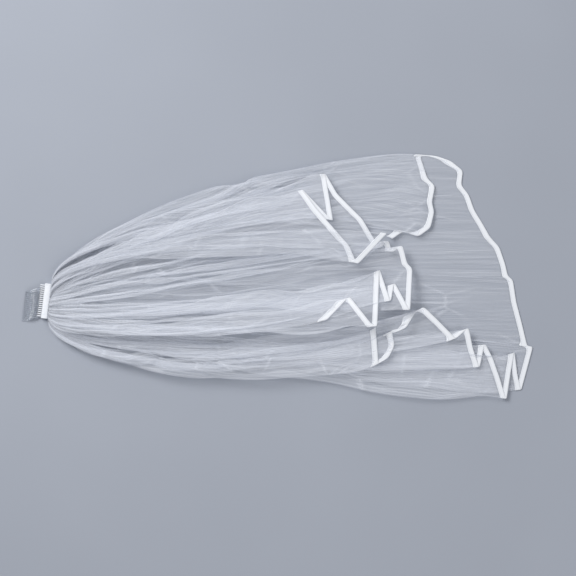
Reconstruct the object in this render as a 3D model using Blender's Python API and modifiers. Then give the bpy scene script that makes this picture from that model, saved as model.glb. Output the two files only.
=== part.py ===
"""Two-tier bridal veil, lying flat with its folds fanned out from a hair comb.

The comb's teeth point along -X, the tulle runs along +X, and +Z is up from the surface
that the veil lies on.  The origin is the middle of the underside of the satin band that
is wrapped round the comb.  All lengths are metres and all angles radians.

The cloth is drawn as ruled sheets.  Each row of a fold table is one fold, which runs from
the gathered heading at the comb to the hem.  Near the comb the folds stand side by side,
like pleats, and towards the hem they tip over and lie one on the other.
"""
import math

import bmesh
import bpy
import numpy as np
from mathutils import Vector

# Comb: a clear plastic side comb with curved teeth.
TOOTH_COUNT = 15
TOOTH_PITCH = 0.0033
TOOTH_LENGTH = 0.038
TOOTH_STEPS = 5
TOOTH_ROOT_RADIUS = 0.00085
TOOTH_TIP_RADIUS = 0.00055
TOOTH_ARCH = 0.0045
TOOTH_LEAN = math.radians(13)
SPINE_DEPTH = 0.0062
SPINE_HEIGHT = 0.0030
SPINE_END = 0.0022

# Band: satin wrapped round the comb's spine and over the gathered headings.
BAND_DEPTH = 0.0110
BAND_WALL = 0.0013
BAND_OVER_SPINE = 0.0035
BAND_ROUND = 0.0007
BAND_LEAN = math.radians(7)

# Cloth: the wall that stands for tulle, and the satin ribbon sewn along each hem.
CLOTH = 0.0010
RIBBON_WIDTH = 0.0080
CLEARANCE = 0.0003
SEAM_GAP = 0.0020
LAYER = 0.0023
FOLD_THICKNESS = 0.0020
HEADING_WIDTH = 0.052
HEADING_RISE = 0.0022
HEADING_CREST = 0.0020
STANDING_PEAK = 0.07

# Long tier, which lies on the surface.
LONG_LENGTH = 0.773
LONG_SPREAD = 0.392
LONG_RISE = 0.0036
LONG_BOW = 0.072

# Short tier, which lies on the long one.
SHORT_LENGTH = 0.579
SHORT_SPREAD = 0.246
SHORT_RISE = 0.0028
SHORT_BOW = 0.034

# How finely the sheets are divided along a fold, and the cells of the height field on
# which the short tier lies.
LONG_STATIONS = 14
SHORT_STATIONS = 12
WIDEST_STEP = 0.026
CELL = 0.012
CELLS_WIDENED = 3

# Hems, in order from the free edge that ends up highest in the photo.  reach: share of the
# tier's length from the heading to the hem.  side: share of its spread from the comb's
# axis to the hem.  A row with only these two and a ripple lies on the cloth between two
# folds, and ripple is the share of the tier's rise by which the cloth swells up there.  A
# row of six is a fold, and has these columns more.  place: share of the heading's width,
# from its +Y end.  bow: share of the tier's bow, to the left (+Y) or right of the straight
# line.  level: layers of cloth below it at the hem.  stand: 2 where the fold stands up
# near the comb, 0 where it dips to the surface.
LONG_HEM = (
    (0.708, 0.253, 0.00, 0.88, 3.6, 2.0),
    (0.789, 0.302, 0.0),
    (0.795, 0.363, 0.0),
    (0.790, 0.402, 0.0),
    (0.797, 0.469, 0.0),
    (0.781, 0.500, 0.0),
    (0.797, 0.594, 0.12, 0.85, 0.45, 0.0),
    (0.830, 0.571, 0.0),
    (0.855, 0.531, 0.0),
    (0.851, 0.473, 0.0),
    (0.867, 0.433, 0.0),
    (0.878, 0.371, 0.4),
    (0.894, 0.320, 0.1),
    (0.911, 0.261, 0.6),
    (0.930, 0.220, 0.2),
    (0.942, 0.151, 1.1),
    (0.950, 0.094, 0.2),
    (0.959, 0.050, 0.7),
    (0.965, -0.004, 0.2),
    (0.977, -0.094, 0.9),
    (0.990, -0.170, 0.2),
    (1.000, -0.192, 0.3),
    (0.990, -0.257, 0.0),
    (0.975, -0.367, 0.46, -0.42, 0.45, 0.0),
    (0.967, -0.298, 0.0),
    (0.961, -0.204, 0.52, -0.46, 1.7, 2.0),
    (0.954, -0.278, 0.0),
    (0.944, -0.404, 0.58, -0.52, 2.8, 0.0),
    (0.930, -0.314, 0.0),
    (0.915, -0.229, 0.0),
    (0.899, -0.171, 0.64, -0.57, 4.0, 2.0),
    (0.888, -0.273, 0.70, -0.63, 5.0, 0.0),
    (0.874, -0.192, 0.0),
    (0.865, -0.106, 0.76, -0.68, 6.2, 2.0),
    (0.839, -0.153, 0.82, -0.73, 7.3, 0.0),
    (0.799, -0.073, 0.0),
    (0.772, -0.022, 0.88, -0.77, 8.5, 2.0),
    (0.754, -0.049, 0.0),
    (0.744, -0.082, 0.0),
    (0.736, -0.110, 0.0),
    (0.718, -0.138, 0.0),
    (0.712, -0.180, 0.0),
    (0.700, -0.229, 0.0),
    (0.679, -0.253, 0.94, -0.80, 9.6, 0.0),
    (0.673, -0.106, 1.00, -0.84, 11.0, 2.0),
)
SHORT_HEM = (
    (0.928, 0.435, 0.00, 1.20, 8.4, 0.0),
    (0.848, 0.234, 0.085, 1.10, 7.0, 1.8),
    (0.826, 0.357, 0.0),
    (0.782, 0.474, 0.0),
    (0.735, 0.600, 0.0),
    (0.696, 0.727, 0.175, 0.84, 4.2, 0.0),
    (0.782, 0.513, 0.26, 0.80, 2.2, 2.0),
    (0.760, 0.831, 0.34, 0.76, 0.45, 0.0),
    (0.793, 0.695, 0.0),
    (0.831, 0.604, 0.0),
    (0.862, 0.532, 0.0),
    (0.898, 0.390, 0.0),
    (0.912, 0.338, 0.45, 0.20, 0.45, 0.0),
    (0.934, 0.396, 0.505, 0.15, 1.5, 2.0),
    (0.945, 0.312, 0.56, 0.10, 2.5, 0.0),
    (0.972, 0.364, 0.615, 0.05, 3.5, 2.0),
    (0.986, 0.240, 0.0),
    (1.000, 0.214, 0.0),
    (0.992, -0.065, 0.67, -0.20, 4.5, 0.0),
    (0.950, 0.123, 0.73, -0.30, 5.6, 2.0),
    (0.939, -0.006, 0.79, -0.42, 6.7, 0.0),
    (0.909, 0.210, 0.84, -0.54, 7.9, 2.0),
    (0.901, -0.169, 0.90, -0.64, 9.0, 0.0),
    (0.884, -0.143, 0.0),
    (0.826, 0.032, 0.95, -0.77, 10.3, 2.0),
    (0.765, -0.117, 1.00, -0.92, 11.6, 0.0),
)

WHITE_TULLE = (0.80, 0.83, 0.90, 1.0)
WHITE_SATIN = (0.88, 0.89, 0.93, 1.0)
CLEAR_PLASTIC = (0.62, 0.65, 0.68, 1.0)

SPINE_WIDTH = TOOTH_PITCH * (TOOTH_COUNT - 1) + 2 * (TOOTH_ROOT_RADIUS + SPINE_END)
SPINE_BOTTOM = BAND_WALL + CLEARANCE
SPINE_MIDDLE = SPINE_BOTTOM + SPINE_HEIGHT / 2
BAND_WIDTH = SPINE_WIDTH + 2 * (CLEARANCE + BAND_WALL)
BAND_HEIGHT = SPINE_BOTTOM + SPINE_HEIGHT + CLEARANCE + BAND_OVER_SPINE


def clear_scene():
    """Remove every object, so that the file starts empty."""
    for item in list(bpy.data.objects):
        bpy.data.objects.remove(item, do_unlink=True)


def new_collection(name):
    """Make a collection under the scene's own."""
    made = bpy.data.collections.new(name)
    bpy.context.scene.collection.children.link(made)
    return made


def new_material(name, color, roughness, metallic=0.0):
    """Make a Principled material with a plain colour."""
    material = bpy.data.materials.new(name)
    material.use_nodes = True
    shader = material.node_tree.nodes["Principled BSDF"]
    shader.inputs["Base Color"].default_value = color
    shader.inputs["Roughness"].default_value = roughness
    shader.inputs["Metallic"].default_value = metallic
    return material


def make_block(name, size, middle, lean, collection):
    """Make a box of a given size round its middle, turned by lean about +Z."""
    mesh = bpy.data.meshes.new(name)
    shape = bmesh.new()
    bmesh.ops.create_cube(shape, size=1.0)
    bmesh.ops.scale(shape, vec=Vector(size), verts=shape.verts)
    shape.to_mesh(mesh)
    shape.free()
    block = bpy.data.objects.new(name, mesh)
    block.location = middle
    block.rotation_euler = (0.0, 0.0, -lean)
    collection.objects.link(block)
    return block


def add_bevel(item, width, segments=2):
    """Round an object's edges."""
    bevel = item.modifiers.new("rounded edges", "BEVEL")
    bevel.width = width
    bevel.segments = segments
    bevel.limit_method = "ANGLE"
    return bevel


def add_boolean(item, other, operation):
    """Cut or join an object with another, and hide the other one."""
    boolean = item.modifiers.new(operation.lower(), "BOOLEAN")
    boolean.operation = operation
    boolean.solver = "EXACT"
    boolean.object = other
    other.hide_render = True
    other.display_type = "WIRE"


def along_spine(share):
    """Point on the spine's middle line, for a share from -0.5 to 0.5 of its width."""
    offset = share * SPINE_WIDTH
    return Vector((offset * math.sin(BAND_LEAN), offset * math.cos(BAND_LEAN), SPINE_MIDDLE))


def tooth_points(root):
    """Points and radii of one tooth, which arches from the spine down to the surface."""
    leaves_band = BAND_DEPTH / 2 + 2 * CLEARANCE
    points = [root]
    radii = [TOOTH_ROOT_RADIUS]
    for step in range(TOOTH_STEPS + 1):
        share = step / TOOTH_STEPS
        run = leaves_band + share * (TOOTH_LENGTH - leaves_band)
        level = SPINE_MIDDLE + share * (TOOTH_TIP_RADIUS - SPINE_MIDDLE)
        level += TOOTH_ARCH * math.sin(math.pi * share)
        side = run * math.sin(TOOTH_LEAN)
        points.append(Vector((root.x - run * math.cos(TOOTH_LEAN), root.y - side, level)))
        radii.append(TOOTH_ROOT_RADIUS + share * (TOOTH_TIP_RADIUS - TOOTH_ROOT_RADIUS))
    return points, radii


def make_teeth(collection):
    """Sweep every tooth as a tapered round rod, and keep them together as one mesh."""
    curve = bpy.data.curves.new("comb_teeth", "CURVE")
    curve.dimensions = "3D"
    curve.bevel_depth = 1.0
    curve.bevel_resolution = 2
    curve.use_fill_caps = True
    first = -(TOOTH_COUNT - 1) / 2
    for number in range(TOOTH_COUNT):
        root = along_spine((first + number) * TOOTH_PITCH / SPINE_WIDTH)
        points, radii = tooth_points(root)
        spline = curve.splines.new("POLY")
        spline.points.add(len(points) - 1)
        for knot, point, radius in zip(spline.points, points, radii):
            knot.co = (*point, 1.0)
            knot.radius = radius
    rods = bpy.data.objects.new("comb_teeth_rods", curve)
    collection.objects.link(rods)
    bpy.context.view_layer.update()
    seen = bpy.context.evaluated_depsgraph_get()
    mesh = bpy.data.meshes.new_from_object(rods.evaluated_get(seen))
    shape = bmesh.new()
    shape.from_mesh(mesh)
    bmesh.ops.remove_doubles(shape, verts=shape.verts, dist=0.00001)
    shape.to_mesh(mesh)
    shape.free()
    bpy.data.objects.remove(rods, do_unlink=True)
    teeth = bpy.data.objects.new("comb_teeth", mesh)
    collection.objects.link(teeth)
    return teeth


def make_comb(parts, cutters, material):
    """Spine and teeth of the comb, moulded in one piece."""
    size = (SPINE_DEPTH, SPINE_WIDTH, SPINE_HEIGHT)
    comb = make_block("comb", size, (0.0, 0.0, SPINE_MIDDLE), BAND_LEAN, parts)
    add_boolean(comb, make_teeth(cutters), "UNION")
    comb.data.materials.append(material)
    return comb


def make_band(parts, cutters, material):
    """Satin band round the comb's spine, open on the side where the teeth come out."""
    size = (BAND_DEPTH, BAND_WIDTH, BAND_HEIGHT)
    band = make_block("heading_band", size, (0.0, 0.0, BAND_HEIGHT / 2), BAND_LEAN, parts)
    add_bevel(band, BAND_ROUND)
    slot_depth = BAND_DEPTH / 2 + SPINE_DEPTH / 2 + CLEARANCE
    slot_middle = SPINE_DEPTH / 2 + CLEARANCE - slot_depth
    slot_size = (2 * slot_depth, SPINE_WIDTH + 2 * CLEARANCE, SPINE_HEIGHT + 2 * CLEARANCE)
    middle = (
        slot_middle * math.cos(BAND_LEAN),
        -slot_middle * math.sin(BAND_LEAN),
        SPINE_MIDDLE,
    )
    slot = make_block("spine_slot", slot_size, middle, BAND_LEAN, cutters)
    add_boolean(band, slot, "DIFFERENCE")
    band.data.materials.append(material)
    return band


def with_fold_sides(hem):
    """Each row of a hem as a list: a row between folds by itself, a fold as its two sides."""
    levels = [row[4] for row in hem if len(row) == 6]
    passed = 0
    rows = []
    for row in hem:
        if len(row) == 3:
            rows.append([row])
            continue
        reach, side, place, bow, level, stand = row
        if passed in (0, len(levels) - 1):
            rows.append([row])
        else:
            rises = 1 if levels[passed + 1] > level else -1
            half = rises * FOLD_THICKNESS / LAYER / 2
            width = HEADING_CREST / HEADING_WIDTH / 2
            first = (reach, side, place - width, bow, level - half, stand)
            second = (reach, side, place + width, bow, level + half, stand)
            rows.append([first, second])
        passed += 1
    return rows


def complete_rows(hem):
    """Give each fold its two sides, and each row between folds its missing columns.

    The cloth goes round a fold from its lower side to its upper one where the levels rise
    along the table, and the other way where they fall.
    """
    hem = [row for fold in with_fold_sides(hem) for row in fold]
    folds = [number for number, row in enumerate(hem) if len(row) == 6]
    complete = []
    for number, row in enumerate(hem):
        if number in folds:
            complete.append((*row, 0.0))
            continue
        before = hem[max(fold for fold in folds if fold < number)]
        after = hem[min(fold for fold in folds if fold > number)]
        reach, side, ripple = row
        share = (side - before[1]) / (after[1] - before[1])
        rest = [old + (new - old) * share for old, new in zip(before[2:], after[2:])]
        complete.append((reach, side, *rest, ripple))
    return np.array(complete)


def split_wide(rows, spread, widest):
    """Add rows between two rows of a hem that lie further apart than the widest step."""
    split = [rows[0]]
    for before, after in zip(rows[:-1], rows[1:]):
        steps = max(1, math.ceil(abs(after[1] - before[1]) * spread / widest))
        split += [before + (after - before) * step / steps for step in range(1, steps + 1)]
    return np.array(split)


def standing(share, rise):
    """Half height of the standing folds: most just behind the comb, then soon lying down."""
    part_way = share / STANDING_PEAK
    gathered = HEADING_RISE * (1 - share) ** 2
    return gathered + (rise - HEADING_RISE) * part_way * np.exp(1 - part_way)


def swelling(share, rise):
    """Height of a ripple: none at the heading or the hem, and most between them."""
    return rise * np.sin(np.pi * share**0.6)


def bowing(share):
    """How far a fold bows out sideways: none at its ends and most at 0.36 of its length."""
    return share**0.45 * (1 - share) ** 0.8 / 0.442


def layering(share):
    """How far a fold has tipped over on to the fold before it: 0 at the heading, 1 at the hem."""
    return share**0.5


def ruled_sheet(hem, length, spread, rise, bow, shares):
    """Points of a gathered sheet, as an array of rows by shares by XYZ.

    Each row runs straight from its place in the heading to its place in the hem, and bows
    sideways on the way, outwards from the comb's axis, as a gathered fan does.
    """
    rows = split_wide(complete_rows(hem), spread, WIDEST_STEP)
    columns = rows.T[:, :, None]
    reach, side, place, bend, level, stand, ripple = columns
    head_y = (0.5 - place) * HEADING_WIDTH
    head_x = BAND_DEPTH / 2 / math.cos(BAND_LEAN) + head_y * math.tan(BAND_LEAN)
    head_x = head_x + CLEARANCE + CLOTH / 2
    hem_x = BAND_DEPTH / 2 + reach * length
    x = head_x + (hem_x - head_x) * shares
    y = head_y + (side * spread - head_y) * shares
    y = y + bend * bow * bowing(shares)
    z = CLOTH / 2 + LAYER * level * layering(shares)
    z = z + standing(shares, rise) * stand + swelling(shares, rise) * ripple
    return np.stack((x, y, z), axis=-1)


def hem_length(sheet_ends):
    """Length of each fold from heading to hem, as a column."""
    return np.linalg.norm(sheet_ends[:, -1] - sheet_ends[:, 0], axis=1)[:, None]


def station_shares(count):
    """Shares along a fold, closer together near the comb, where it bends most."""
    return np.linspace(0.0, 1.0, count + 1) ** 1.6


def between(grid, count):
    """Points at even steps between the neighbours of a grid's first axis."""
    steps = np.linspace(0.0, 1.0, count, endpoint=False)[None, :, None, None]
    filled = grid[:-1, None] * (1 - steps) + grid[1:, None] * steps
    filled = filled.reshape(-1, *grid.shape[1:])
    return np.concatenate((filled, grid[-1:]))


def spread_out(field, combine):
    """Combine each cell of a field with its eight neighbours."""
    rows, columns = field.shape
    padded = np.pad(field, 1)
    shifted = [padded[i : i + rows, j : j + columns] for i in range(3) for j in range(3)]
    return combine(np.stack(shifted), axis=0)


def height_over(sheet):
    """Height field that clears a sheet: its highest cloth by cell, widened and smoothed."""
    dense = between(between(sheet, 8).transpose(1, 0, 2), 8).reshape(-1, 3)
    margin = (CELLS_WIDENED + 2) * CELL
    corner = dense[:, :2].min(axis=0) - margin
    size = ((dense[:, :2].max(axis=0) + margin - corner) / CELL).astype(int) + 2
    cells = ((dense[:, :2] - corner) / CELL).astype(int)
    field = np.zeros(size)
    np.maximum.at(field, (cells[:, 0], cells[:, 1]), dense[:, 2])
    for _ in range(CELLS_WIDENED):
        field = spread_out(field, np.max)
    for _ in range(CELLS_WIDENED - 1):
        field = spread_out(field, np.mean)
    return corner, field


def read_height(corner, field, x, y):
    """Height of the field at each point, read smoothly between the middles of its cells."""
    u = np.clip((x - corner[0]) / CELL - 0.5, 0, field.shape[0] - 1.001)
    v = np.clip((y - corner[1]) / CELL - 0.5, 0, field.shape[1] - 1.001)
    i = u.astype(int)
    j = v.astype(int)
    u = u - i
    v = v - j
    near = field[i, j] * (1 - v) + field[i, j + 1] * v
    far = field[i + 1, j] * (1 - v) + field[i + 1, j + 1] * v
    return near * (1 - u) + far * u


def highest_at(x):
    """Most that the long tier can reach up at a distance from the heading."""
    folds = complete_rows(LONG_HEM)
    shortest = folds[:, 0].min() * LONG_LENGTH
    share = np.clip((x - BAND_DEPTH / 2 + BAND_WALL) / shortest, 0, 1)
    rise = np.where(share < STANDING_PEAK, standing(share, LONG_RISE), LONG_RISE)
    rise = 2 * rise + LONG_RISE * np.clip(share / 0.25, 0, 1)
    return CLOTH + rise + LAYER * folds[:, 4].max() * layering(share)


def lay_on(sheet, corner, field):
    """Lift a sheet by the height of what lies below each of its points."""
    lifted = sheet.copy()
    below = read_height(corner, field, sheet[..., 0], sheet[..., 1]) + CLOTH
    below = np.minimum(below, highest_at(sheet[..., 0]))
    lifted[..., 2] += below + CLEARANCE
    return lifted


def long_sheet(shares):
    """Middle surface of the long tier."""
    return ruled_sheet(LONG_HEM, LONG_LENGTH, LONG_SPREAD, LONG_RISE, LONG_BOW, shares)


def short_sheet(shares):
    """Middle surface of the short tier, before it is laid on the long one."""
    return ruled_sheet(SHORT_HEM, SHORT_LENGTH, SHORT_SPREAD, SHORT_RISE, SHORT_BOW, shares)


def make_cloth(name, grid, collection, material):
    """Give a grid of points a wall, as one closed piece of cloth."""
    across, along = grid.shape[:2]
    numbers = np.arange(across * along).reshape(across, along)
    corners = (numbers[:-1, :-1], numbers[:-1, 1:], numbers[1:, 1:], numbers[1:, :-1])
    faces = np.stack(corners, axis=-1).reshape(-1, 4)
    mesh = bpy.data.meshes.new(name)
    mesh.from_pydata(grid.reshape(-1, 3).tolist(), [], faces.tolist())
    mesh.update()
    mesh.shade_smooth()
    cloth = bpy.data.objects.new(name, mesh)
    collection.objects.link(cloth)
    wall = cloth.modifiers.new("cloth wall", "SOLIDIFY")
    wall.thickness = CLOTH
    wall.offset = 0.0
    cloth.data.materials.append(material)
    return cloth


def make_tier(name, sheet_at, stations, collection, tulle, satin):
    """One tier: its tulle, and the satin ribbon that carries on to the hem."""
    fold_length = hem_length(sheet_at(np.array([[0.0, 1.0]])))
    ribbon_start = 1 - RIBBON_WIDTH / fold_length
    tulle_end = ribbon_start - SEAM_GAP / fold_length
    last_strip = tulle_end - RIBBON_WIDTH / fold_length
    tulle_shares = np.concatenate((station_shares(stations) * last_strip, tulle_end), axis=1)
    make_cloth(name, sheet_at(tulle_shares), collection, tulle)
    ribbon_shares = np.concatenate((ribbon_start, np.ones_like(ribbon_start)), axis=1)
    make_cloth(name + "_ribbon", sheet_at(ribbon_shares), collection, satin)


def main():
    """Build the comb, its band, and the two tiers with their ribbons."""
    clear_scene()
    parts = new_collection("two-tier bridal veil")
    cutters = new_collection("cutters")
    plastic = new_material("clear moulded plastic", CLEAR_PLASTIC, 0.15)
    satin = new_material("white satin", WHITE_SATIN, 0.45)
    tulle = new_material("white tulle", WHITE_TULLE, 0.85)
    make_comb(parts, cutters, plastic)
    make_band(parts, cutters, satin)
    make_tier("long_tier", long_sheet, LONG_STATIONS, parts, tulle, satin)
    below = height_over(long_sheet(station_shares(LONG_STATIONS)))
    make_tier(
        "short_tier",
        lambda shares: lay_on(short_sheet(shares), *below),
        SHORT_STATIONS,
        parts,
        tulle,
        satin,
    )


main()
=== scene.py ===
"""A two-tier bridal veil of white tulle on a clear hair comb, laid flat and fanned out."""
import math

import bmesh
import bpy
import numpy as np
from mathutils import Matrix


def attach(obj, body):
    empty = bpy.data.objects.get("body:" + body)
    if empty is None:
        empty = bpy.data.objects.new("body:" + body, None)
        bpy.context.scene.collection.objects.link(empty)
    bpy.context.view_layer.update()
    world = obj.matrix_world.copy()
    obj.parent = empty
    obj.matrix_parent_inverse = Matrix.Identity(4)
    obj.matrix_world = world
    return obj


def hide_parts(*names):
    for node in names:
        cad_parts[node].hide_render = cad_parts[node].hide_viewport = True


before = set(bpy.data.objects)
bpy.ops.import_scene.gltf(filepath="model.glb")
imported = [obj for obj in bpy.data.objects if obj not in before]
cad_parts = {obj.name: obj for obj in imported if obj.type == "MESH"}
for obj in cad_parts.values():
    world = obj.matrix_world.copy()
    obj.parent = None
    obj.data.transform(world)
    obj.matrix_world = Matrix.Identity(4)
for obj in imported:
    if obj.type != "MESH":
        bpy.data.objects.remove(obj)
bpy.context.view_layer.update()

# The comb: a clear side comb, injection moulded in styrene plastic.  Its teeth swell until
# they all but touch, then narrow to thin round tips, and they arch up and over.  A flat
# root bar joins them, and the band is wound round its far edge.


def linear(code):
    """Linear colour of an sRGB hex code, as the shaders take it."""
    parts = [int(code[i : i + 2], 16) / 255 for i in (1, 3, 5)]
    bright = [p / 12.92 if p <= 0.04045 else ((p + 0.055) / 1.055) ** 2.4 for p in parts]
    return (*bright, 1.0)


def add(tree, kind, links=(), values=(), **settings):
    """Add a node with its settings, its input values by socket, and links (socket, from)."""
    node = tree.nodes.new(kind)
    for name, value in settings.items():
        setattr(node, name, value)
    for socket, value in values:
        node.inputs[socket].default_value = value
    for socket, source in links:
        tree.links.new(source, node.inputs[socket])
    return node


def start_material(name, color, roughness):
    """A material with its Principled shader, and the tree that holds both."""
    material = bpy.data.materials.new(name)
    material.use_nodes = True
    tree = material.node_tree
    shader = tree.nodes["Principled BSDF"]
    shader.inputs["Base Color"].default_value = linear(color)
    shader.inputs["Roughness"].default_value = roughness
    return material, tree, shader


def new_piece(name, points, faces, material):
    """Object at the origin with smooth faces and one material."""
    mesh = bpy.data.meshes.new(name)
    mesh.from_pydata(points.tolist(), [], faces.tolist())
    mesh.shade_smooth()
    mesh.materials.append(material)
    piece = bpy.data.objects.new(name, mesh)
    bpy.context.scene.collection.objects.link(piece)
    return piece


def grid_faces(numbers):
    """Quads between the neighbours of an array of point numbers, over its last two axes."""
    here, ahead = numbers[..., :-1, :-1], numbers[..., 1:, :-1]
    beside, across = numbers[..., :-1, 1:], numbers[..., 1:, 1:]
    return np.stack((here, ahead, across, beside), axis=-1).reshape(-1, 4)


def closed_up(piece):
    """Merge the points that meet and turn every face outwards."""
    shape = bmesh.new()
    shape.from_mesh(piece.data)
    bmesh.ops.remove_doubles(shape, verts=shape.verts, dist=1e-6)
    bmesh.ops.dissolve_degenerate(shape, edges=shape.edges, dist=1e-7)
    bmesh.ops.recalc_face_normals(shape, faces=shape.faces)
    shape.to_mesh(piece.data)
    shape.free()
    return piece


def rods(name, paths, across, up, side, material, turns=12, squareness=0.8):
    """Closed rods along several paths, which are rods by steps by XYZ.

    At angle a a rod's section lies across * cos a along side and up * sin a along the
    path's normal, each with its size raised to the power squareness.  across and up are
    numbers, or one for each step, and each end draws in to a point.
    """
    angle = np.arange(turns + 1) * 2 * np.pi / turns
    cosine, sine = np.cos(angle), np.sin(angle)
    cosine = np.sign(cosine) * np.abs(cosine) ** squareness
    sine = np.sign(sine) * np.abs(sine) ** squareness
    normal = np.cross(np.gradient(paths, axis=1), side)
    normal /= np.linalg.norm(normal, axis=-1, keepdims=True)
    steps = paths.shape[1]
    wide = (across * np.ones(steps))[:, None, None] * cosine[:, None] * np.asarray(side)
    high = (up * np.ones(steps))[:, None, None] * sine[:, None] * normal[:, :, None]
    rings = paths[:, :, None] + wide + high
    ends = np.repeat(paths[:, [0, -1], None], turns + 1, axis=2)
    rings = np.concatenate((ends[:, :1], rings, ends[:, 1:]), axis=1)
    numbers = np.arange(rings[..., 0].size).reshape(rings.shape[:3])
    return closed_up(new_piece(name, rings.reshape(-1, 3), grid_faces(numbers), material))


teeth = 15
tooth_pitch = 0.0033
tooth_length = 0.038
leaves_band = 0.0058
tooth_lean = math.radians(13)
band_lean = math.radians(7)
spine_middle = 0.0031
tip_radius = 0.00055
arch = 0.0042
head_curve = 0.16

# Clear styrene: water clear with a faint grey tint, polished by its mould.
clear_plastic, tree, shader = start_material("clear styrene", "#E6EBF2", 0.06)
shader.inputs["Transmission Weight"].default_value = 0.82
shader.inputs["IOR"].default_value = 1.59
place = add(tree, "ShaderNodeTexCoord")
ripple = add(
    tree, "ShaderNodeTexNoise", [("Vector", place.outputs["Object"])],
    [("Scale", 900.0), ("Detail", 2.0)],
)
bump = add(
    tree, "ShaderNodeBump", [("Height", ripple.outputs["Fac"])],
    [("Strength", 0.15), ("Distance", 0.0002)],
)
tree.links.new(bump.outputs["Normal"], shader.inputs["Normal"])

along_band = np.array((math.sin(band_lean), math.cos(band_lean), 0.0))
out_of_band = np.array((-math.cos(band_lean), math.sin(band_lean), 0.0))
out_of_comb = np.array((-math.cos(tooth_lean), -math.sin(tooth_lean), 0.0))
beside_tooth = np.array((-math.sin(tooth_lean), math.cos(tooth_lean), 0.0))


def tooth_paths(offsets, run):
    """Middle lines of teeth: straight out in plan, and in height a sine arch on a slope.

    The arch is a little lower for the outer teeth, because the comb is curved to the head.
    """
    share = np.clip((run - leaves_band) / (tooth_length - leaves_band), 0, 1)
    height = spine_middle + share * (tip_radius - spine_middle) + arch * np.sin(np.pi * share)
    roots = offsets[:, None, None] * along_band
    curved = 1 + head_curve * np.cos(np.pi * offsets / np.ptp(offsets))[:, None]
    lifted = np.zeros((offsets.size, run.size, 3))
    lifted[..., 2] = height * curved
    return roots + run[:, None] * out_of_comb + lifted


offsets = (np.arange(teeth) - (teeth - 1) / 2) * tooth_pitch
run = np.linspace(0.0, tooth_length, 44)
half_width = np.interp(
    run,
    (0.0, 0.0118, 0.0150, 0.0250, 0.0285, 0.0340, 0.0372, 0.0380),
    (0.00080, 0.00080, 0.00142, 0.00138, 0.00080, 0.00055, 0.00042, 0.00020),
)
half_height = np.interp(
    run,
    (0.0, 0.0150, 0.0300, 0.0372, 0.0380),
    (0.00090, 0.00080, 0.00060, 0.00045, 0.00020),
)
comb = rods(
    "clear_comb", tooth_paths(offsets, run), half_width, half_height, beside_tooth,
    clear_plastic,
)
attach(comb, "root")
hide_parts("comb")

bar_reach = 0.0086
bar_overhang = 0.0024
bar_above_spine = 0.0010
bar_half_width = 0.0030
bar_half_height = 0.0007
bar_ends = np.linspace(-1.0, 1.0, 40) * (offsets[-1] + bar_overhang)
bar_path = bar_ends[None, :, None] * along_band + bar_reach * out_of_band
bar_path[..., 2] = spine_middle + bar_above_spine
bar = rods(
    "comb_root_bar", bar_path, bar_half_width, bar_half_height, out_of_band, clear_plastic,
    turns=20, squareness=0.6,
)
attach(bar, "root")

# The band: white satin wound tightly round the comb's bar and over the gathered headings.
# Its turns show as faint ridges, and its ends are turned under into firm edges.
band_width = 0.0563
band_half_depth = 0.0055
band_height = 0.0084
band_in_box = 0.96
band_end = 0.03

# Polyester satin: a close, smooth weave with long floats, so it is white with a soft sheen.
satin, tree, shader = start_material("woven polyester satin", "#F4F6FB", 0.42)
shader.inputs["Sheen Weight"].default_value = 0.35
shader.inputs["Sheen Roughness"].default_value = 0.4
place = add(tree, "ShaderNodeTexCoord")
# A satin thread is about 0.25 mm thick, and is drawn at 0.8 mm so that it shows.
warp = add(
    tree, "ShaderNodeTexWave", [("Vector", place.outputs["Object"])],
    [("Scale", 200.0), ("Distortion", 2.0), ("Detail", 1.0)], bands_direction="Y",
)
slubs = add(
    tree, "ShaderNodeTexNoise", [("Vector", place.outputs["Object"])],
    [("Scale", 260.0), ("Detail", 3.0)],
)
both = add(
    tree, "ShaderNodeMath", [(0, warp.outputs["Fac"]), (1, slubs.outputs["Fac"])], operation="ADD"
)
bump = add(
    tree, "ShaderNodeBump", [("Height", both.outputs[0])],
    [("Strength", 0.25), ("Distance", 0.0003)],
)
tree.links.new(bump.outputs["Normal"], shader.inputs["Normal"])
# A colour mix has its two colours in sockets 6 and 7, and its result in socket 2.
shade = add(
    tree, "ShaderNodeMix", [("Factor", slubs.outputs["Fac"])],
    [(6, linear("#E6EAF2")), (7, linear("#FCFDFF"))], data_type="RGBA",
)
tree.links.new(shade.outputs[2], shader.inputs["Base Color"])

ends = np.linspace(-1.0, 1.0, 150)
band_path = ends[None, :, None] * band_width / 2 * along_band
band_path[..., 2] = band_height / 2
winding = 1 + 0.022 * np.sin(ends * 42.0) + 0.012 * np.sin(ends * 97.0 + 1.0)
firm_edge = 1 + 0.05 * np.exp(-(((np.abs(ends) - 0.955) / 0.03) ** 2))
rounded = np.clip((1 - np.abs(ends)) / band_end, 0, 1)
rounded = 0.75 + 0.25 * np.sqrt(1 - (1 - rounded) ** 2)
section = winding * firm_edge * rounded
band = rods(
    "satin_band", band_path, band_half_depth * band_in_box * section,
    band_height / 2 * band_in_box * section, out_of_band, satin, turns=32, squareness=0.62,
)
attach(band, "root")
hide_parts("heading_band")

# Wraps: the band is sewn on with white cord, which passes through every gap between the
# teeth and round the root bar, and leaves the bar showing between its turns.
# Twisted cotton cord: matt white, with a slanting ridge for each of its strands.
cord_white, tree, shader = start_material("twisted cotton cord", "#F1F3F8", 0.7)
place = add(tree, "ShaderNodeTexCoord")
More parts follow.
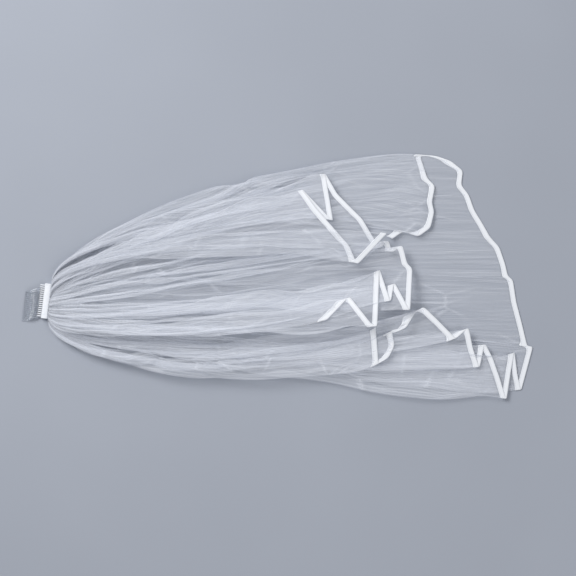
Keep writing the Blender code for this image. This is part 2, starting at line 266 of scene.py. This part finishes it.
# The cord's strands are about 0.3 mm thick, and are drawn at 0.7 mm.
twist = add(
    tree, "ShaderNodeTexWave", [("Vector", place.outputs["Object"])],
    [("Scale", 230.0), ("Distortion", 1.2)], bands_direction="DIAGONAL",
)
bump = add(
    tree, "ShaderNodeBump", [("Height", twist.outputs["Fac"])],
    [("Strength", 0.4), ("Distance", 0.0002)],
)
tree.links.new(bump.outputs["Normal"], shader.inputs["Normal"])

turn_starts_inside = 0.0034
turn_reach = 0.0070
turn_above_spine = 0.0012
turn_half_height = 0.0024
cord_half_width = 0.00085
cord_half_height = 0.0004
gaps = (np.arange(teeth + 1) - teeth / 2) * tooth_pitch
# Each turn is half an ellipse round the bar: out by a cosine and up by a sine.
turn_angle = np.linspace(-0.52 * np.pi, 0.52 * np.pi, 22)
turn_out = bar_reach - turn_starts_inside + turn_reach * np.cos(turn_angle)
turn_up = spine_middle + turn_above_spine + turn_half_height * np.sin(turn_angle)
cord_paths = gaps[:, None, None] * along_band + turn_out[:, None] * out_of_band
cord_paths[..., 2] = turn_up
wraps = rods(
    "band_wraps", cord_paths, cord_half_width, cord_half_height, along_band, cord_white
)
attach(wraps, "root")

# The long tier: a rectangle of soft nylon tulle, gathered by hand along one long side.  It
# lies on the surface in the folds of its hem, and each fold runs back to the comb.

# Hem tables, from the free edge that ends up highest.  reach: share of the tier's length.
# side: share of its spread.  Rows of six are folds, with place in the heading, bow, layers
# of cloth below, and how far the fold stands up near the comb.  Rows of three lie between
# folds, with their ripple.
long_hem = (
    (0.708, 0.253, 0.00, 0.88, 3.6, 2.0),
    (0.730, 0.283, 0.0),
    (0.762, 0.262, 0.0),
    (0.787, 0.298, 0.0),
    (0.795, 0.363, 0.0),
    (0.790, 0.402, 0.0),
    (0.797, 0.469, 0.0),
    (0.781, 0.500, 0.0),
    (0.766, 0.592, 0.12, 0.85, 0.45, 0.0),
    (0.802, 0.590, 0.0),
    (0.830, 0.571, 0.0),
    (0.855, 0.531, 0.0),
    (0.851, 0.473, 0.0),
    (0.867, 0.433, 0.0),
    (0.878, 0.371, 0.4),
    (0.894, 0.320, 0.1),
    (0.911, 0.261, 0.6),
    (0.930, 0.220, 0.2),
    (0.942, 0.151, 1.1),
    (0.948, 0.100, 0.2),
    (0.958, 0.088, 0.4),
    (0.965, -0.004, 0.2),
    (0.977, -0.094, 0.9),
    (0.988, -0.186, 0.2),
    (1.000, -0.184, 0.3),
    (0.990, -0.257, 0.0),
    (0.975, -0.367, 0.46, -0.42, 0.45, 0.0),
    (0.967, -0.298, 0.0),
    (0.961, -0.204, 0.52, -0.46, 1.7, 2.0),
    (0.954, -0.278, 0.0),
    (0.944, -0.404, 0.58, -0.52, 2.8, 0.0),
    (0.930, -0.314, 0.0),
    (0.915, -0.229, 0.0),
    (0.899, -0.171, 0.64, -0.57, 4.0, 2.0),
    (0.888, -0.273, 0.70, -0.63, 5.0, 0.0),
    (0.874, -0.192, 0.0),
    (0.865, -0.106, 0.76, -0.68, 6.2, 2.0),
    (0.839, -0.153, 0.82, -0.73, 7.3, 0.0),
    (0.799, -0.073, 0.0),
    (0.772, -0.022, 0.88, -0.77, 8.5, 2.0),
    (0.754, -0.049, 0.0),
    (0.744, -0.082, 0.0),
    (0.736, -0.110, 0.0),
    (0.706, -0.116, 0.0),
    (0.712, -0.180, 0.0),
    (0.700, -0.229, 0.0),
    (0.679, -0.253, 0.94, -0.80, 9.6, 0.0),
    (0.673, -0.106, 1.00, -0.84, 11.0, 2.0),
)

cloth_wall = 0.0010
layer = 0.0023
heading_width = 0.052
heading_rise = 0.0022
standing_peak = 0.07
corner_rounding = 0.0034


def whole_rows(hem):
    """Every row with all its columns: one between two folds takes its share of theirs."""
    folds = [number for number, row in enumerate(hem) if len(row) == 6]
    whole = []
    for number, row in enumerate(hem):
        if number in folds:
            whole.append((*row, 0.0))
            continue
        before = hem[max(fold for fold in folds if fold < number)]
        after = hem[min(fold for fold in folds if fold > number)]
        share = (row[1] - before[1]) / (after[1] - before[1])
        rest = [old + (new - old) * share for old, new in zip(before[2:], after[2:])]
        whole.append((*row[:2], *rest, row[2]))
    return np.array(whole)


def smoothed(values, reach):
    """Running mean along the first axis, weighted by a bell of that many steps."""
    steps = np.arange(-int(3 * reach), int(3 * reach) + 1)
    bell = np.exp(-0.5 * (steps / reach) ** 2)
    bell /= bell.sum()
    padded = np.pad(values, [(steps[-1], steps[-1])] + [(0, 0)] * (values.ndim - 1), "edge")
    return sum(weight * padded[at : at + len(values)] for at, weight in enumerate(bell))


def hem_columns(tier):
    """The hem table's columns at even steps along the hem, with its corners rounded off."""
    rows = whole_rows(tier["hem"])
    path = rows[:, :2] * (tier["length"], tier["spread"])
    run = np.concatenate(([0.0], np.cumsum(np.linalg.norm(np.diff(path, axis=0), axis=1))))
    at = np.linspace(0.0, run[-1], tier["columns"])
    columns = np.stack([np.interp(at, run, column) for column in rows.T], axis=1)
    ends = columns[[0, -1]]
    columns = smoothed(columns, corner_rounding / at[1])
    columns[[0, -1]] = ends
    return at, columns


def drift(across, along, seed):
    """Smooth random field from -1 to 1 over two coordinates, with a free value in each cell."""
    free = np.random.RandomState(seed).uniform(-1, 1, (64, 64))
    i, j = np.floor(across).astype(int), np.floor(along).astype(int)
    u, v = across - i, along - j
    u, v = u * u * (3 - 2 * u), v * v * (3 - 2 * v)
    i, j = i % 63, j % 63
    near = free[i, j] * (1 - v) + free[i, j + 1] * v
    far = free[i + 1, j] * (1 - v) + free[i + 1, j + 1] * v
    return near * (1 - u) + far * u


def ramp(values, low, high):
    """Smooth step from 0 at low to 1 at high."""
    part = np.clip((values - low) / (high - low), 0, 1)
    return part * part * (3 - 2 * part)


def cloth_points(tier, at, columns, shares):
    """Points of a tier's cloth, as hem steps by shares of the fold's length by XYZ.

    Each ruling runs straight from its place in the heading to its place in the hem, bowed
    out sideways.  Cloth that the fan has no room for goes into pleats: at each of three
    sizes a pleat moves the cloth sideways by a sine and up by a cosine, by enough to use up
    its part of the spare length, sqrt(2 * spare) * pleat width / (2 * pi).
    """
    reach, side, place, bend, level, stand, swell = columns.T[:, :, None]
    head_y = (0.5 - place) * heading_width
    head_x = band_half_depth / math.cos(band_lean) + head_y * math.tan(band_lean)
    hem_x = band_half_depth + reach * tier["length"]
    x = head_x + (hem_x - head_x) * shares
    y = head_y + (side * tier["spread"] - head_y) * shares
    y = y + bend * tier["bow"] * shares**0.45 * (1 - shares) ** 0.8 / 0.442
    part = shares / standing_peak
    standing = heading_rise * (1 - shares) ** 2
    standing = standing + (tier["rise"] - heading_rise) * part * np.exp(1 - part)
    z = cloth_wall / 2 + layer * level * np.sqrt(shares) + standing * stand
    z = z + tier["rise"] * swell * np.sin(np.pi * shares**0.6)
    points = np.stack((x, y, z), axis=-1)

    beside = np.gradient(points[..., :2], at, axis=0)
    room = np.clip(np.linalg.norm(beside, axis=-1), 0, 1)
    spare = (1 - room**2) * tier["fill"] * (1 - ramp(shares, 0.90, 1.0))
    onward = np.stack((hem_x - head_x, side * tier["spread"] - head_y), axis=-1)
    onward = onward / np.linalg.norm(onward, axis=-1, keepdims=True)
    sideways = np.concatenate((-onward[..., 1:], onward[..., :1]), axis=-1)
    hem = at[:, None] + 0 * shares
    down = shares + 0 * hem
    weights = (
        ramp(down, 0.04, 0.45),
        ramp(down, 0.0, 0.12) * (1 - 0.75 * ramp(down, 0.25, 0.7)),
        0.15 + 1.2 * (1 - ramp(down, 0.02, 0.35)),
    )
    total = sum(weights)
    for number, (width, weight) in enumerate(zip(tier["pleats"], weights)):
        seed = tier["seed"] + 10 * number
        wander = 0.45 * drift(hem / width / 2.3, down * 5.0, seed)
        wander = wander + 0.35 * drift(hem / width / 0.9 + 7.0, down * 2.2, seed + 1)
        angle = 2 * np.pi * (hem / width + wander)
        uneven = 1 + 0.55 * drift(hem / width / 1.1 + 3.0, down * 4.0, seed + 2)
        swing = width / (2 * np.pi) * np.sqrt(2 * spare * weight / total) * uneven
        points[..., :2] += (0.80 * swing * np.sin(angle))[..., None] * sideways
        points[..., 2] += 0.42 * swing * (1 + np.cos(angle))
    return points


def cloth_uv(at, tier, shares):
    """Metres across and along the cloth as it was cut, for each point."""
    across = at[:, None] + 0 * shares
    return np.stack((across, tier["length"] * shares + 0 * across), axis=-1)


def sheet_piece(name, points, uv, material):
    """Cloth of a grid of points, with its UV and how flat it lies at each point.

    Flatness is the height of the surface's unit normal, from 1 where it lies level to 0
    where it stands on edge.
    """
    numbers = np.arange(points[..., 0].size).reshape(points.shape[:2])
    faces = grid_faces(numbers)
    piece = new_piece(name, points.reshape(-1, 3), faces, material)
    layer_uv = piece.data.uv_layers.new(name="cloth")
    layer_uv.data.foreach_set("uv", uv.reshape(-1, 2)[faces.ravel()].ravel())
    normal = np.cross(np.gradient(points, axis=0), np.gradient(points, axis=1))
    flat = np.abs(normal[..., 2]) / np.maximum(np.linalg.norm(normal, axis=-1), 1e-12)
    field = piece.data.attributes.new("flatness", "FLOAT", "POINT")
    field.data.foreach_set("value", flat.ravel())
    return piece


# Soft nylon tulle: a knitted net of fine threads that covers about a tenth of what lies
# behind it.  Where it stands on edge, or is squeezed into gathers, its threads close up.
tulle, tree, shader = start_material("soft nylon tulle", "#F2F5FC", 0.75)
shader.inputs["Sheen Weight"].default_value = 0.3
shader.inputs["Specular IOR Level"].default_value = 0.25
cut = add(tree, "ShaderNodeUVMap", uv_map="cloth")
flat = add(tree, "ShaderNodeAttribute", attribute_name="flatness")
# The net's holes are 1.2 mm across, and are drawn at 2.4 mm so that they show.
holes = add(
    tree, "ShaderNodeTexVoronoi", [("Vector", cut.outputs["UV"])],
    [("Scale", 420.0), ("Randomness", 0.25)], feature="DISTANCE_TO_EDGE",
)
thread = add(
    tree, "ShaderNodeMapRange", [("Value", holes.outputs["Distance"])],
    [(1, 0.03), (2, 0.22), (3, 0.30), (4, 0.07)],
)
stretched = add(
    tree, "ShaderNodeMapping", [("Vector", cut.outputs["UV"])], [("Scale", (170.0, 5.0, 1.0))]
)
streaks = add(
    tree, "ShaderNodeTexNoise", [("Vector", stretched.outputs["Vector"])],
    [("Scale", 1.0), ("Detail", 3.0), ("Roughness", 0.6)],
)
streak = add(
    tree, "ShaderNodeMapRange", [("Value", streaks.outputs["Fac"])],
    [(1, 0.35), (2, 0.75), (3, 0.6), (4, 2.2)],
)
cover = add(
    tree, "ShaderNodeMath", [(0, thread.outputs["Result"]), (1, streak.outputs["Result"])],
    operation="MULTIPLY",
)
# Creases left by packing: straight lines that meet in large uneven cells.
crease_cells = add(
    tree, "ShaderNodeMapping", [("Vector", cut.outputs["UV"])],
    [("Scale", (17.0, 6.5, 1.0)), ("Rotation", (0.0, 0.0, 0.12))],
)
cells = add(
    tree, "ShaderNodeTexVoronoi", [("Vector", crease_cells.outputs["Vector"])],
    [("Scale", 1.0), ("Randomness", 1.0)], feature="DISTANCE_TO_EDGE",
)
crease = add(
    tree, "ShaderNodeMapRange", [("Value", cells.outputs["Distance"])],
    [(1, 0.0), (2, 0.035), (3, 1.0), (4, 0.0)],
)
patches = add(
    tree, "ShaderNodeTexNoise", [("Vector", cut.outputs["UV"])],
    [("Scale", 11.0), ("Detail", 1.0)],
)
some = add(
    tree, "ShaderNodeMapRange", [("Value", patches.outputs["Fac"])],
    [(1, 0.46), (2, 0.62), (3, 0.0), (4, 0.22)],
)
lines = add(
    tree, "ShaderNodeMath", [(0, crease.outputs["Result"]), (1, some.outputs["Result"])],
    operation="MULTIPLY",
)
covered = add(
    tree, "ShaderNodeMath", [(0, cover.outputs[0]), (1, lines.outputs[0])], operation="ADD"
)
# Light that meets a net of cover c at flatness f gets through with chance (1 - c) ** (1 / f).
open_share = add(
    tree, "ShaderNodeMath", [(1, covered.outputs[0])], [(0, 1.0)],
    operation="SUBTRACT", use_clamp=True,
)
facing = add(
    tree, "ShaderNodeMath", [(0, flat.outputs["Fac"])], [(1, 0.10)], operation="MAXIMUM"
)
longer = add(tree, "ShaderNodeMath", [(1, facing.outputs[0])], [(0, 1.0)], operation="DIVIDE")
passed = add(
    tree, "ShaderNodeMath", [(0, open_share.outputs[0]), (1, longer.outputs[0])],
    operation="POWER",
)
alpha = add(
    tree, "ShaderNodeMath", [(1, passed.outputs[0])], [(0, 1.0)],
    operation="SUBTRACT", use_clamp=True,
)
tree.links.new(alpha.outputs[0], shader.inputs["Alpha"])

long_tier = dict(
    hem=long_hem, length=0.773, spread=0.392, rise=0.0036, bow=0.072, columns=780,
    pleats=(0.052, 0.021, 0.0105), fill=1.0, seed=3,
)
at, columns = hem_columns(long_tier)
shares = np.linspace(0.0, 1.0, 118)[None, :] ** 1.25
long_points = cloth_points(long_tier, at, columns, shares)
long_cloth = sheet_piece("long_tulle", long_points, cloth_uv(at, long_tier, shares), tulle)
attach(long_cloth, "root")
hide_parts("long_tier")

# The long tier's ribbon: satin ribbon 8 mm wide, folded over the tulle's raw edge and
# sewn through with one line of small stitches.
ribbon_width = 0.0080
ribbon_wall = 0.0006
ribbon_lines = 6
seam_inside = 0.0016
drawn_rib_pitch = 0.0012
stitch_pitch = 0.0025

# The ribbon's satin: as the band's, with a sewn line that pulls it in.
ribbon_satin, tree, shader = start_material("satin ribbon", "#F6F8FC", 0.38)
shader.inputs["Sheen Weight"].default_value = 0.3
cut = add(tree, "ShaderNodeUVMap", uv_map="cloth")
split = add(tree, "ShaderNodeSeparateXYZ", [("Vector", cut.outputs["UV"])])
# Weft ribs are 0.3 mm apart, and are drawn at 1.2 mm.
ribs = add(
    tree, "ShaderNodeMath", [(0, split.outputs["X"])], [(1, 2 * math.pi / drawn_rib_pitch)],
    operation="MULTIPLY",
)
ribs = add(tree, "ShaderNodeMath", [(0, ribs.outputs[0])], operation="SINE")
from_seam = add(
    tree, "ShaderNodeMath", [(0, split.outputs["Y"])], [(1, seam_inside)],
    operation="SUBTRACT",
)
from_seam = add(tree, "ShaderNodeMath", [(0, from_seam.outputs[0])], operation="ABSOLUTE")
seam = add(
    tree, "ShaderNodeMapRange", [("Value", from_seam.outputs[0])],
    [(1, 0.0), (2, 0.0007), (3, 1.0), (4, 0.0)],
)
# Stitches are 2.5 mm apart.
pitch = add(
    tree, "ShaderNodeMath", [(0, split.outputs["X"])], [(1, 2 * math.pi / stitch_pitch)],
    operation="MULTIPLY",
)
pitch = add(tree, "ShaderNodeMath", [(0, pitch.outputs[0])], operation="SINE")
stitch = add(
    tree, "ShaderNodeMapRange", [("Value", pitch.outputs[0])],
    [(1, -0.4), (2, 0.4), (3, 0.2), (4, 1.0)],
)
stitch_dent_and_shade = add(
    tree, "ShaderNodeMath", [(0, seam.outputs["Result"]), (1, stitch.outputs["Result"])],
    operation="MULTIPLY",
)
height = add(
    tree, "ShaderNodeMath", [(0, ribs.outputs[0])], [(1, 0.12)], operation="MULTIPLY"
)
height = add(
    tree, "ShaderNodeMath", [(0, height.outputs[0]), (1, stitch_dent_and_shade.outputs[0])], operation="SUBTRACT"
)
bump = add(
    tree, "ShaderNodeBump", [("Height", height.outputs[0])],
    [("Strength", 0.5), ("Distance", 0.0004)],
)
tree.links.new(bump.outputs["Normal"], shader.inputs["Normal"])
# Painted shade: the satin is drawn grey along the stitched line, darkest at each stitch, for the
# shade in the dents that the stitches make.
shade = add(
    tree, "ShaderNodeMix", [("Factor", stitch_dent_and_shade.outputs[0])],
    [(6, linear("#F7F9FD")), (7, linear("#CDD3DF"))], data_type="RGBA",
)
tree.links.new(shade.outputs[2], shader.inputs["Base Color"])


def ribbon_shares(points):
    """Shares of each fold's length from the ribbon's inner edge to the hem.

    The ribbon keeps its width across itself, so where the hem runs slantwise to a fold
    it covers more of the fold's length: its width over the sine of the angle between them.
    """
    hemward = points[:, -1] - points[:, -2]
    beside = np.gradient(points[:, -1], axis=0)
    turn = np.linalg.norm(np.cross(hemward, beside), axis=-1)
    turn = turn / np.linalg.norm(hemward, axis=-1) / np.linalg.norm(beside, axis=-1)
    length = np.linalg.norm(points[:, -1] - points[:, 0], axis=-1)
    covered = ribbon_width / length / np.clip(smoothed(turn, 2.0), 0.42, 1)
    return 1 - smoothed(covered, 2.5)[:, None] * np.linspace(1.0, 0.0, ribbon_lines)


def ribbon_piece(name, tier, at, columns, cloth, lift=None):
    """The ribbon along a tier's hem: a strip of the same cloth surface with a wall."""
    points = cloth_points(tier, at, columns, ribbon_shares(cloth))
    if lift is not None:
        points[..., 2] += lift(points)
    between = np.linalg.norm(np.diff(points[:, -1], axis=0), axis=1)
    run = np.concatenate(([0.0], np.cumsum(between)))
    inward = np.linspace(0.0, ribbon_width, ribbon_lines)
    uv = np.stack(np.broadcast_arrays(run[:, None], inward), axis=-1)
    ribbon = sheet_piece(name, points, uv, ribbon_satin)
    wall = ribbon.modifiers.new("ribbon wall", "SOLIDIFY")
    wall.thickness = ribbon_wall
    wall.offset = 0.0
    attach(ribbon, "root")
    return ribbon


long_ribbon = ribbon_piece("long_hem_ribbon", long_tier, at, columns, long_points)
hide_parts("long_tier_ribbon")

# The short tier: the same tulle, gathered into the same heading on top of the long tier.
# It lies on the long tier's folds, so each of its points is lifted by what is below.
short_hem = (
    (0.928, 0.435, 0.00, 1.20, 8.4, 0.0),
    (0.848, 0.234, 0.085, 1.10, 7.0, 1.8),
    (0.826, 0.357, 0.0),
    (0.782, 0.474, 0.0),
    (0.735, 0.600, 0.0),
    (0.696, 0.727, 0.175, 0.84, 4.2, 0.0),
    (0.782, 0.513, 0.26, 0.80, 2.2, 2.0),
    (0.760, 0.831, 0.34, 0.76, 0.45, 0.0),
    (0.793, 0.695, 0.0),
    (0.831, 0.604, 0.0),
    (0.862, 0.532, 0.0),
    (0.898, 0.390, 0.0),
    (0.912, 0.338, 0.45, 0.20, 0.45, 0.0),
    (0.934, 0.396, 0.505, 0.15, 1.5, 2.0),
    (0.945, 0.312, 0.56, 0.10, 2.5, 0.0),
    (0.972, 0.364, 0.615, 0.05, 3.5, 2.0),
    (0.986, 0.240, 0.0),
    (1.000, 0.214, 0.0),
    (0.992, -0.065, 0.67, -0.20, 4.5, 0.0),
    (0.950, 0.123, 0.73, -0.30, 5.6, 2.0),
    (0.939, -0.006, 0.79, -0.42, 6.7, 0.0),
    (0.909, 0.210, 0.84, -0.54, 7.9, 2.0),
    (0.901, -0.169, 0.90, -0.64, 9.0, 0.0),
    (0.884, -0.143, 0.0),
    (0.826, 0.032, 0.95, -0.77, 10.3, 2.0),
    (0.765, -0.117, 1.00, -0.92, 11.6, 0.0),
)
short_tier = dict(
    hem=short_hem, length=0.579, spread=0.246, rise=0.0028, bow=0.034, columns=700,
    pleats=(0.046, 0.019, 0.0100), fill=1.0, seed=8,
)

cell = 0.012
clear_of_long = 0.0012
heading_end = 0.05
corner = long_points.reshape(-1, 3)[:, :2].min(axis=0) - 5 * cell
extent = long_points.reshape(-1, 3)[:, :2].max(axis=0) + 5 * cell - corner
spots = ((long_points[..., :2] - corner) / cell).astype(int)
over = np.zeros((extent / cell).astype(int) + 2)
np.maximum.at(
    over, (spots[..., 0].ravel(), spots[..., 1].ravel()), long_points[..., 2].ravel()
)


def neighbours(field):
    """A field of cells stacked with itself moved by one cell each way."""
    rows, columns = field.shape
    padded = np.pad(field, 1)
    return np.stack([padded[i : i + rows, j : j + columns] for i in range(3) for j in range(3)])


for _ in range(2):
    over = neighbours(over).max(axis=0)
for _ in range(4):
    over = neighbours(over).mean(axis=0)


def lift_over_long(points):
    """Height of the smooth field over the long tier, read between the middles of its cells."""
    u = np.clip((points[..., 0] - corner[0]) / cell - 0.5, 0, over.shape[0] - 1.001)
    v = np.clip((points[..., 1] - corner[1]) / cell - 0.5, 0, over.shape[1] - 1.001)
    i, j = u.astype(int), v.astype(int)
    u, v = u - i, v - j
    near = over[i, j] * (1 - v) + over[i, j + 1] * v
    far = over[i + 1, j] * (1 - v) + over[i + 1, j + 1] * v
    field = near * (1 - u) + far * u
    return field * ramp(points[..., 0], 0.0, heading_end) + clear_of_long


at, columns = hem_columns(short_tier)
shares = np.linspace(0.0, 1.0, 112)[None, :] ** 1.25
short_points = cloth_points(short_tier, at, columns, shares)
short_points[..., 2] += lift_over_long(short_points)
short_cloth = sheet_piece("short_tulle", short_points, cloth_uv(at, short_tier, shares), tulle)
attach(short_cloth, "root")
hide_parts("short_tier")
short_ribbon = ribbon_piece(
    "short_hem_ribbon", short_tier, at, columns, short_points, lift_over_long
)
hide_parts("short_tier_ribbon")

# The studio: a plain pale floor, a large soft light from above left, a weaker one from the
# right, and the camera straight above, as for the photograph.
# Matt painted board: pale grey, without gloss, and a little mottled.
floor_grey, tree, shader = start_material("matt painted board", "#A9AEB8", 0.9)
place = add(tree, "ShaderNodeTexCoord")
mottle = add(
    tree, "ShaderNodeTexNoise", [("Vector", place.outputs["Object"])],
    [("Scale", 3.0), ("Detail", 2.0)],
)
shade = add(
    tree, "ShaderNodeMix", [("Factor", mottle.outputs["Fac"])],
    [(6, linear("#A4A9B3")), (7, linear("#ADB2BC"))], data_type="RGBA",
)
tree.links.new(shade.outputs[2], shader.inputs["Base Color"])
floor_points = np.array([[-6, -6, 0], [6, -6, 0], [6, 6, 0], [-6, 6, 0]], dtype=float)
floor = new_piece("floor", floor_points, np.array([[0, 1, 2, 3]]), floor_grey)


def soft_light(name, spot, size, power):
    """Square area light at a spot, aimed at the veil's middle."""
    lamp = bpy.data.lights.new(name, "AREA")
    lamp.size = size
    lamp.energy = power
    holder = bpy.data.objects.new(name, lamp)
    holder.location = spot
    aim = np.array((0.38, 0.02, 0.0)) - np.array(spot)
    pitch = math.atan2(math.hypot(aim[0], aim[1]), -aim[2])
    holder.rotation_euler = (pitch, 0.0, math.atan2(-aim[0], aim[1]))
    bpy.context.scene.collection.objects.link(holder)


soft_light("key_softbox", (-0.9, 1.3, 1.9), 1.2, 46.0)
soft_light("fill_softbox", (2.0, -1.2, 1.8), 1.6, 14.0)

world = bpy.data.worlds.new("studio")
world.use_nodes = True
backdrop = world.node_tree.nodes["Background"]
backdrop.inputs["Color"].default_value = linear("#E9ECF2")
backdrop.inputs["Strength"].default_value = 0.45
bpy.context.scene.world = world

# The frame is 576 pixels wide at 1.6 mm each, and the band's middle is at pixel 46.5, 301.
frame_width = 576
pixel = 0.0016
view_width = frame_width * pixel
camera_height = 4.0
lens = bpy.data.cameras.new("camera")
lens.sensor_width = 36.0
lens.lens = 36.0 * camera_height / view_width
lens.clip_end = 100.0
camera = bpy.data.objects.new("camera", lens)
camera.location = (
    (frame_width / 2 - 46.5) * pixel, (301 - frame_width / 2) * pixel, camera_height
)
bpy.context.scene.collection.objects.link(camera)
bpy.context.scene.camera = camera
bpy.context.scene.view_settings.view_transform = "Standard"
# Light passes up to this many layers of net before a path ends.
bpy.context.scene.cycles.transparent_max_bounces = 48
